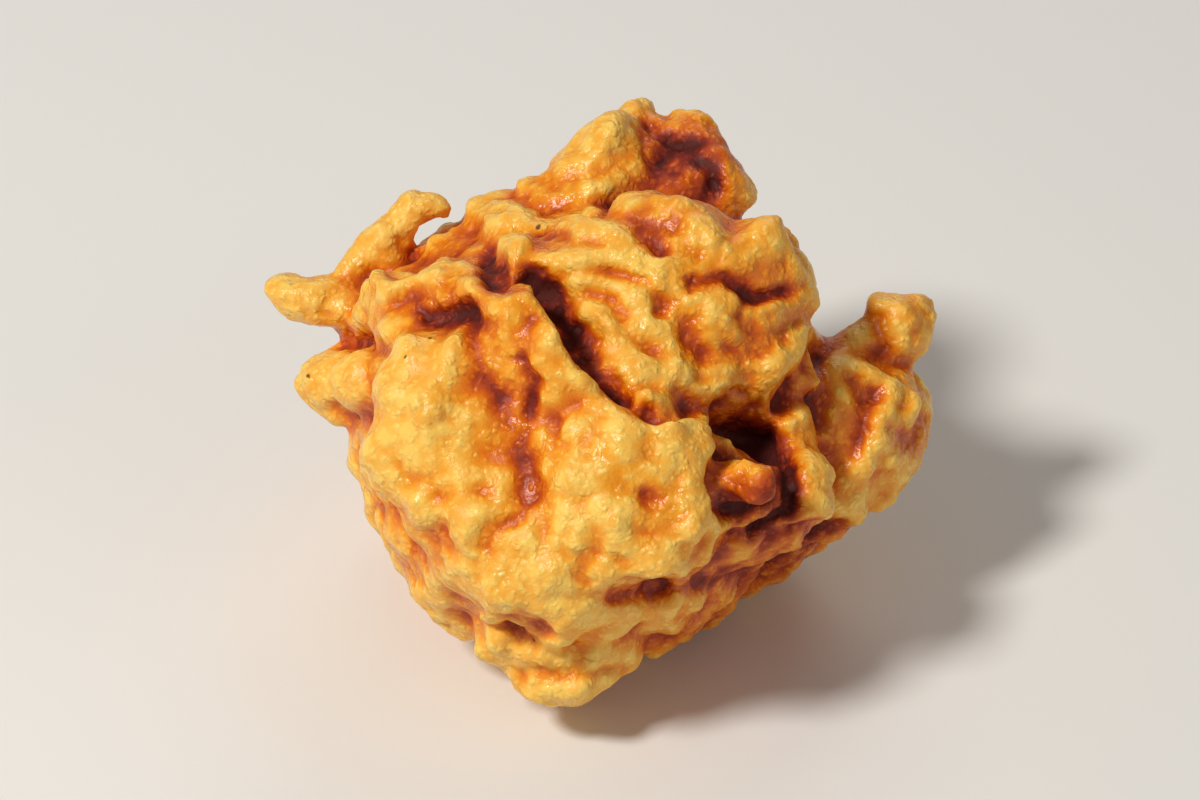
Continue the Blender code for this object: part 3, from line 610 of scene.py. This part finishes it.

# How the crust's colour is worked out. Each rise compares the skin with itself smoothed this many rounds; the
# scale is the rise in mm that counts as 1, up to the limit, and the weight is how much darker the crust gets
# for each 1. The weights are below 0, so what stands out gets paler and what sinks gets darker, which is
# partly how it fried and partly painted shade in the hollows. A tip begins to brown at the first of the broad
# rises below, in mm, and is brown at the second.
RISES = {
    "fine_rise": (12, 0.10, -0.06),
    "middle_rise": (80, 0.45, -0.15),
    "broad_rise": (420, 1.30, -0.21),
}
RISE_LIMIT = 1.2
TIP_RISE = (2.2, 4.5)
TIP_BROWNING = 0.28
BASE_TONE = 0.25
# Size of the mottling in mm and its weight, then the rounds that smooth the whole tone
MOTTLING = (11.0, 0.16)
TONE_SMOOTHING = 2

# Places on the near side that are darker (above 0) or paler (below 0): right, up, radius and how much. Most
# are marks where it fried darker or stayed pale; the flank and its foot are painted shade on the lower right
# side, and the rear knobs are partly painted shade.
FRIED_AND_SHADED_SPOTS = {
    "arch_start": (-13.0, 9.4, 2.6, 0.16),
    "arch_top": (-7.4, 8.0, 3.0, 0.34),
    "arch_end": (-4.2, 3.8, 2.4, 0.26),
    "left_hollow": (-8.8, 2.0, 2.6, 0.10),
    "dome_mark": (2.0, 14.4, 2.2, 0.16),
    "dome_ledge": (9.6, 9.2, 3.0, 0.10),
    "dome_edge": (14.2, 10.6, 3.0, 0.14),
    # The rear knobs are partly painted shade, behind the top edge
    "rear_knobs": (7.0, 20.4, 4.4, 0.66),
    "nub": (24.4, 7.2, 3.4, 0.36),
    "right_rim": (24.2, -1.4, 3.4, 0.28),
    "right_fold": (16.6, 0.8, 2.4, 0.18),
    "ball": (11.2, -6.4, 2.6, 0.76),
    "below_pit": (14.0, -6.0, 3.0, 0.26),
    # The flank and its foot are painted shade, on the lower right side
    "flank": (14.0, -11.8, 5.0, 0.32),
    "flank_foot": (7.0, -16.0, 4.0, 0.20),
    "left_knob": (-19.6, 0.6, 1.6, 0.20),
    "left_lobe": (-15.0, -2.0, 6.0, -0.10),
    "middle_lobe": (0.6, -8.6, 6.0, -0.10),
    "skirt": (-8.0, -12.6, 6.0, -0.08),
    "skirt_foot": (-8.7, -19.4, 2.6, -0.24),
    "dome_lip": (1.0, 6.0, 4.0, -0.08),
    "dome": (7.0, 11.4, 4.0, -0.04),
}

# Crust colours from pale to deeply fried, whose dark end also shows the tone's painted shade: place on the
# scale, then linear colour
CRUST_COLOURS = (
    (0.00, (0.95, 0.60, 0.115)),
    (0.24, (0.87, 0.36, 0.024)),
    (0.44, (0.73, 0.178, 0.004)),
    (0.62, (0.49, 0.068, 0.002)),
    (0.80, (0.235, 0.015, 0.001)),
    (1.00, (0.075, 0.003, 0.000)),
)
SPECK_COLOUR = (0.030, 0.012, 0.006)

# How much darker the creases are, partly as they fried and partly as painted shade, and how far that reaches,
# in half-widths of the crease
CREASE_BROWNING_AND_SHADE = {"fold": 0.32, "pit": 0.36, "below_pit": 0.26, "hollow_left": 0.20, "hollow_right": 0.24}
USUAL_BROWNING_AND_SHADE = 0.17
BROWNING_AND_SHADE_REACH = 1.35

# How much paler the folds are, as a painted highlight along them, and how wide that is, in mm
FOLD_HIGHLIGHT = 0.14
FOLD_HIGHLIGHT_WIDTH = 1.1

# From how deep behind the meat's middle, in mm, the near side's creases and its spots start to show, and over
# what depth they fade in
CREASES_SHOW = (-2.5, 5.0)
SPOTS_SHOW = (-10.0, 8.0)

# The material's patterns. A noise has its scale (swells in a metre), detail and roughness; cells have a scale.
NOISES = {
    "stir": (900.0, 2.0, 0.5),
    "patches": (170.0, 2.0, 0.55),
    "blotches": (420.0, 4.0, 0.55),
    "grain": (3300.0, 3.0, 0.6),
    "oil": (300.0, 3.0, 0.55),
}
CELLS = {"blisters": 540.0, "crumbs": 1500.0, "specks": 600.0}
# How far the cells are stirred
STIR_REACH = 1.1 * MM
# Where a round bump runs out, as a share of the spacing
BUMP_FOOT = 0.65
# Each pattern's middle value, and how much the tone changes for each 1 above it. The blisters and crumbs are
# paler on their tops and darker between them, which is partly painted shade.
TONE_CHANGES = {"blotches": (0.5, 0.40), "blisters": (0.42, -0.20), "crumbs": (0.42, -0.16),
                "grain": (0.5, 0.16)}
# How high each pattern stands in the bump, as a share of the bump's whole height
BUMP_SHARES = {"blisters": 0.55, "crumbs": 0.24, "grain": 0.16}
BUMP_HEIGHT = 0.34 * MM
# The part of the noise that patches and oil use, from none of it to all
NOISE_SPAN = (0.38, 0.62)
BLISTER_STRENGTH = (0.25, 1.0)
OIL_ROUGHNESS = (0.20, 0.46)
# Between these tones the crust gets drier, by up to this much roughness
DRY_TONES = (0.5, 0.9)
DRY_ROUGHNESS = 0.35
CRUST_SPECULAR = 0.38
# Only cells with a random number over this hold a speck, which is solid up to the first share of the spacing
# and gone at the second
SPECK_RARITY = 0.94
SPECK_EDGE = (0.08, 0.15)
SPECK_STRENGTH = 0.85

# Studio. Each light has its place, size and power, then its colour
LIGHTS = {
    "key": ((-0.34, -0.22, 0.52), 0.13, 3.5, (1.0, 0.96, 0.90)),
    "fill": ((0.62, -0.36, 0.30), 0.60, 0.75, (1.0, 0.90, 0.78)),
    "back": ((0.10, 0.55, 0.40), 0.40, 0.7, (1.0, 0.98, 0.95)),
}
WORLD_COLOUR = (1.0, 0.95, 0.88)
WORLD_STRENGTH = 0.20
CAMERA_LENS = 200.0
SENSOR_WIDTH = 36.0
FRAME_SHAPE = 1200 / 800
SHARE_OF_FRAME = 0.92
NEAREST_SEEN = 0.01
FLOOR_SIZE = 3.0
FLOOR_COLOUR = (0.79, 0.79, 0.78)
FLOOR_ROUGHNESS = 0.7


def add_bubbles(mesh):
    """Raises the small bubbles, in patches, and the grain."""
    points, outward = positions(mesh), normals(mesh)
    size, usual, unevenness, least = BUBBLE_PATCHES
    patch = np.clip(usual + unevenness * scalar_noise(points, size, SKIN_SHIFTS["patches"]), least, 1)
    size, height = SMALL_BUBBLES
    rise = height * patch * pillows(points, size, SKIN_SHIFTS["bubbles"])
    size, height = GRAIN
    rise += height * scalar_noise(points, size, SKIN_SHIFTS["grain"])
    move_to(mesh, points + outward * (rise * MM)[:, None])


def fit_to_box(mesh, box):
    """Moves and scales the skin a little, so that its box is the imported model's box."""
    low, high = np.array(box[0]), np.array(box[1])
    points = positions(mesh)
    size = points.max(axis=0) - points.min(axis=0)
    points = (points - points.min(axis=0)) * (high - low) / size + low
    move_to(mesh, points)


def smoothed(values, ends, rounds):
    """Each vertex's values, averaged with its neighbours' this many times."""
    count = len(values)
    near, far = np.concatenate([ends[:, 0], ends[:, 1]]), np.concatenate([ends[:, 1], ends[:, 0]])
    degree = np.bincount(near, minlength=count)[:, None]
    for _ in range(rounds):
        around = [np.bincount(near, values[far, axis], count) for axis in range(values.shape[1])]
        values = 0.5 * values + 0.5 * np.stack(around, axis=1) / degree
    return values


def near_line(places, line, width):
    """1 on the line through these points, and falling off to 0 within about twice this width, in mm."""
    distance, _ = line_distance(places, line)
    return np.exp(-((distance / width) ** 2))


def shown(points, start, span):
    """0 behind the depth where it starts, rising to 1 over this span towards the viewer, in mm."""
    return np.clip(((points - MEAT_CENTRE) @ TOWARD / MM - start) / span, 0, 1)


def rise_tone(points, outward, ends):
    """The tone from how far each place stands out of the skin around it: darker in its hollows, partly as
    painted shade, and browner at its thin tips.
    """
    tone = np.full(len(points), BASE_TONE)
    smooth, done = points, 0
    for rounds, scale, weight in RISES.values():
        smooth = smoothed(smooth, ends, rounds - done)
        done = rounds
        rise = np.sum((points - smooth) * outward, axis=1) / MM
        tone += weight * np.clip(rise / scale, -RISE_LIMIT, RISE_LIMIT)
    start, whole = TIP_RISE
    return tone + TIP_BROWNING * np.clip((rise - start) / (whole - start), 0, 1)


def spot_tone(points):
    """How much the named spots darken or lighten each place."""
    places = seen_from_front(points)
    tone = np.zeros(len(points))
    for right, up, radius, darker in FRIED_AND_SHADED_SPOTS.values():
        distance = np.hypot(places[:, 0] - right, places[:, 1] - up)
        tone += darker * np.exp(-((distance / radius) ** 2))
    return tone * shown(points, *SPOTS_SHOW)


def crease_shade_and_fold_highlight(points):
    """How much the creases darken each place, partly as they fried and partly as painted shade, less the
    painted highlight along the folds.
    """
    places = crease_places(points)
    browning_and_shade = np.zeros(len(points))
    for name, (_, width, _, line) in CREASES.items():
        darker = CREASE_BROWNING_AND_SHADE.get(name, USUAL_BROWNING_AND_SHADE)
        browning_and_shade = np.maximum(browning_and_shade, darker * near_line(places, line, width * BROWNING_AND_SHADE_REACH))
    fold_highlight = np.zeros(len(points))
    for fold in FOLDS.values():
        line = np.array(fold)[:, :2]
        fold_highlight = np.maximum(fold_highlight, FOLD_HIGHLIGHT * near_line(places, line, FOLD_HIGHLIGHT_WIDTH))
    return (browning_and_shade - fold_highlight) * shown(points, *CREASES_SHOW)


def frying_and_shade_tone(mesh):
    """How dark each place is, from 0 to 1: how it fried, with painted shade in its hollows and creases and a
    painted highlight along its folds.
    """
    points, outward = positions(mesh), normals(mesh)
    ends = edge_ends(mesh)
    size, weight = MOTTLING
    tone = rise_tone(points, outward, ends) + spot_tone(points) + crease_shade_and_fold_highlight(points)
    tone += weight * scalar_noise(points, size, SKIN_SHIFTS["mottling"])
    return np.clip(smoothed(tone[:, None], ends, TONE_SMOOTHING)[:, 0], 0, 1)


def give_attribute(mesh, name, values):
    """Stores one number for each vertex, for the material to read."""
    layer = mesh.attributes.new(name, "FLOAT", "POINT")
    layer.data.foreach_set("value", values.astype(np.float32))


class Nodes:
    """Short ways to add and join the nodes of one material."""

    def __init__(self, name):
        self.material = bpy.data.materials.new(name)
        self.material.use_nodes = True
        self.tree = self.material.node_tree
        self.shader = self.tree.nodes["Principled BSDF"]

    def add(self, kind, settings=None, **inputs):
        """A node with these settings and inputs. A space in an input's name is written as an underscore."""
        node = self.tree.nodes.new(kind)
        for name, value in (settings or {}).items():
            setattr(node, name, value)
        for name, value in inputs.items():
            self.set(node, name.replace("_", " "), value)
        return node

    def set(self, node, socket, value):
        """Links the value to the socket where it comes from a node, and else sets it there."""
        target = node.inputs[int(socket)] if socket.isdigit() else node.inputs[socket]
        if isinstance(value, bpy.types.NodeSocket):
            self.tree.links.new(value, target)
        else:
            target.default_value = value

    def math(self, operation, first, second=0.0, clamp=False):
        node = self.add("ShaderNodeMath", {"operation": operation, "use_clamp": clamp})
        self.set(node, "0", first)
        self.set(node, "1", second)
        return node.outputs[0]

    def vector(self, operation, first, second=(0.0, 0.0, 0.0), scale=1.0):
        node = self.add("ShaderNodeVectorMath", {"operation": operation})
        self.set(node, "0", first)
        self.set(node, "1", second)
        self.set(node, "3", scale)
        return node.outputs["Vector"]

    def range(self, value, span, result, kind="LINEAR"):
        """The value's place in the span, as the same place in the result."""
        node = self.add("ShaderNodeMapRange", {"interpolation_type": kind})
        for socket, number in zip("01234", (value, *span, *result)):
            self.set(node, socket, number)
        return node.outputs[0]

    def noise(self, place, name, output="Fac"):
        scale, detail, roughness = NOISES[name]
        node = self.add("ShaderNodeTexNoise", Vector=place, Scale=scale, Detail=detail, Roughness=roughness)
        return node.outputs[output]

    def cells(self, place, name):
        return self.add("ShaderNodeTexVoronoi", {"feature": "F1"}, Vector=place, Scale=CELLS[name])

    def bumps(self, place, name):
        """Round bumps, 1 on top, that run out smoothly at their feet."""
        distance = self.cells(place, name).outputs["Distance"]
        return self.range(distance, (0.0, BUMP_FOOT), (1.0, 0.0), "SMOOTHSTEP")

    def ramp(self, factor, stops):
        """The colour at this place on a scale of (place, colour) stops."""
        node = self.add("ShaderNodeValToRGB", Fac=factor)
        elements = node.color_ramp.elements
        while len(elements) < len(stops):
            elements.new(0.5)
        for element, (place, colour) in zip(elements, stops):
            element.position = place
            element.color = (*colour, 1.0)
        return node.outputs["Color"]


def stirred_place(nodes, place):
    """The place, moved a little to and fro, so that cells don't look cut."""
    stir = nodes.vector("SUBTRACT", nodes.noise(place, "stir", "Color"), (0.5, 0.5, 0.5))
    return nodes.vector("ADD", place, nodes.vector("SCALE", stir, scale=STIR_REACH))


def crust_tone(nodes, patterns):
    """How dark the crust is, from the stored tone with its painted shade and highlight, and the material's own
    patterns.
    """
    tone = nodes.add("ShaderNodeAttribute", {"attribute_name": TONE_LAYER}).outputs["Fac"]
    for name, (middle, change) in TONE_CHANGES.items():
        above = nodes.math("SUBTRACT", patterns[name], middle)
        tone = nodes.math("ADD", tone, nodes.math("MULTIPLY", above, change))
    return nodes.math("ADD", tone, 0.0, clamp=True)


def crust_colour(nodes, tone, stirred):
    """The crust's colour from its tone, which holds painted shade and highlight, with a few specks of pepper.
    """
    cells = nodes.cells(stirred, "specks")
    shade = nodes.add("ShaderNodeSeparateColor", Color=cells.outputs["Color"])
    chosen = nodes.math("GREATER_THAN", shade.outputs["Red"], SPECK_RARITY)
    dot = nodes.range(cells.outputs["Distance"], SPECK_EDGE, (SPECK_STRENGTH, 0.0))
    # Inputs 6 and 7 of a mix node are its two colours, and output 2 is the mixed one
    mix = nodes.add("ShaderNodeMix", {"data_type": "RGBA"}, Factor=nodes.math("MULTIPLY", chosen, dot))
    nodes.set(mix, "6", nodes.ramp(tone, CRUST_COLOURS))
    nodes.set(mix, "7", (*SPECK_COLOUR, 1.0))
    return mix.outputs[2]


def crust_roughness(nodes, place, tone):
    """Oily in patches, and drier where it fried darker."""
    oil = nodes.range(nodes.noise(place, "oil"), NOISE_SPAN, OIL_ROUGHNESS)
    return nodes.math("ADD", oil, nodes.range(tone, DRY_TONES, (0.0, DRY_ROUGHNESS)))


def crust_relief(nodes, place, patterns):
    """The normal with blisters, in patches, crumbs and grain."""
    strength = nodes.range(nodes.noise(place, "patches"), NOISE_SPAN, BLISTER_STRENGTH)
    patterns = {**patterns, "blisters": nodes.math("MULTIPLY", patterns["blisters"], strength)}
    height = 0.0
    for name, share in BUMP_SHARES.items():
        height = nodes.math("ADD", nodes.math("MULTIPLY", patterns[name], share), height)
    bump = nodes.add("ShaderNodeBump", Strength=1.0, Distance=BUMP_HEIGHT, Height=height)
    return bump.outputs["Normal"]


def crust_material():
    """Fried batter: golden, blistered, mottled and oily, with fine grain and a few specks of pepper."""
    nodes = Nodes("crust")
    place = nodes.add("ShaderNodeTexCoord").outputs["Object"]
    stirred = stirred_place(nodes, place)
    patterns = {
        "blotches": nodes.noise(place, "blotches"),
        "blisters": nodes.bumps(stirred, "blisters"),
        "crumbs": nodes.bumps(stirred, "crumbs"),
        "grain": nodes.noise(place, "grain"),
    }
    tone = crust_tone(nodes, patterns)
    nodes.set(nodes.shader, "Base Color", crust_colour(nodes, tone, stirred))
    nodes.set(nodes.shader, "Roughness", crust_roughness(nodes, place, tone))
    nodes.set(nodes.shader, "Normal", crust_relief(nodes, place, patterns))
    nodes.set(nodes.shader, "Specular IOR Level", CRUST_SPECULAR)
    return nodes.material


def chicken():
    """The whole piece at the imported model's place and size."""
    mesh = crust_mesh(SKIN_VOXEL)
    add_bubbles(mesh)
    cut_flat(mesh)
    remove_scraps(mesh)
    tone = frying_and_shade_tone(mesh)
    fit_to_box(mesh, CAD_BOX)
    give_attribute(mesh, TONE_LAYER, tone)
    mesh.name = PIECE
    mesh.materials.clear()
    mesh.materials.append(crust_material())
    mesh.shade_smooth()
    piece = bpy.data.objects.new(PIECE, mesh)
    bpy.context.scene.collection.objects.link(piece)
    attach(piece, "root")
    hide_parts(NODE)


def make_floor():
    """A plain pale floor."""
    half = FLOOR_SIZE / 2
    corners = [(-half, -half, 0), (half, -half, 0), (half, half, 0), (-half, half, 0)]
    mesh = bpy.data.meshes.new("floor")
    mesh.from_pydata(corners, [], [(0, 1, 2, 3)])
    nodes = Nodes("floor")
    nodes.set(nodes.shader, "Base Color", (*FLOOR_COLOUR, 1.0))
    nodes.set(nodes.shader, "Roughness", FLOOR_ROUGHNESS)
    mesh.materials.append(nodes.material)
    floor = bpy.data.objects.new("floor", mesh)
    bpy.context.scene.collection.objects.link(floor)


def aim(thing, place, target):
    """Puts a camera or light at place, looking at target."""
    thing.location = place
    thing.rotation_euler = (Vector(place) - Vector(target)).to_track_quat("Z", "Y").to_euler()
    bpy.context.scene.collection.objects.link(thing)


def make_light(name, place, size, power, colour):
    """A round soft light that faces the piece."""
    light = bpy.data.lights.new(name, "AREA")
    light.shape = "DISK"
    light.size = size
    light.energy = power
    light.color = colour
    aim(bpy.data.objects.new(name, light), place, MEAT_CENTRE)


def make_studio():
    """The floor, the lights and an even light from all round."""
    make_floor()
    for name, settings in LIGHTS.items():
        make_light(name, *settings)
    world = bpy.data.worlds.new("studio")
    world.use_nodes = True
    background = world.node_tree.nodes["Background"]
    background.inputs["Color"].default_value = (*WORLD_COLOUR, 1.0)
    background.inputs["Strength"].default_value = WORLD_STRENGTH
    bpy.context.scene.world = world
    bpy.context.scene.view_settings.view_transform = "Standard"


def make_camera():
    """Looks down at the piece by the photograph's slope, and fills most of the frame's height with it."""
    low, high = CAD_BOX
    middle = (Vector(low) + Vector(high)) / 2
    size = Vector(high) - Vector(low)
    seen_height = size.y * math.sin(SIGHT_SLOPE) + size.z * math.cos(SIGHT_SLOPE)
    frame_width = seen_height * FRAME_SHAPE / SHARE_OF_FRAME
    distance = frame_width * CAMERA_LENS / SENSOR_WIDTH
    lens = bpy.data.cameras.new("camera")
    lens.lens = CAMERA_LENS
    lens.sensor_width = SENSOR_WIDTH
    lens.clip_start = NEAREST_SEEN
    camera = bpy.data.objects.new("camera", lens)
    aim(camera, middle + Vector(TOWARD) * distance, middle)
    bpy.context.scene.camera = camera


chicken()
make_studio()
make_camera()
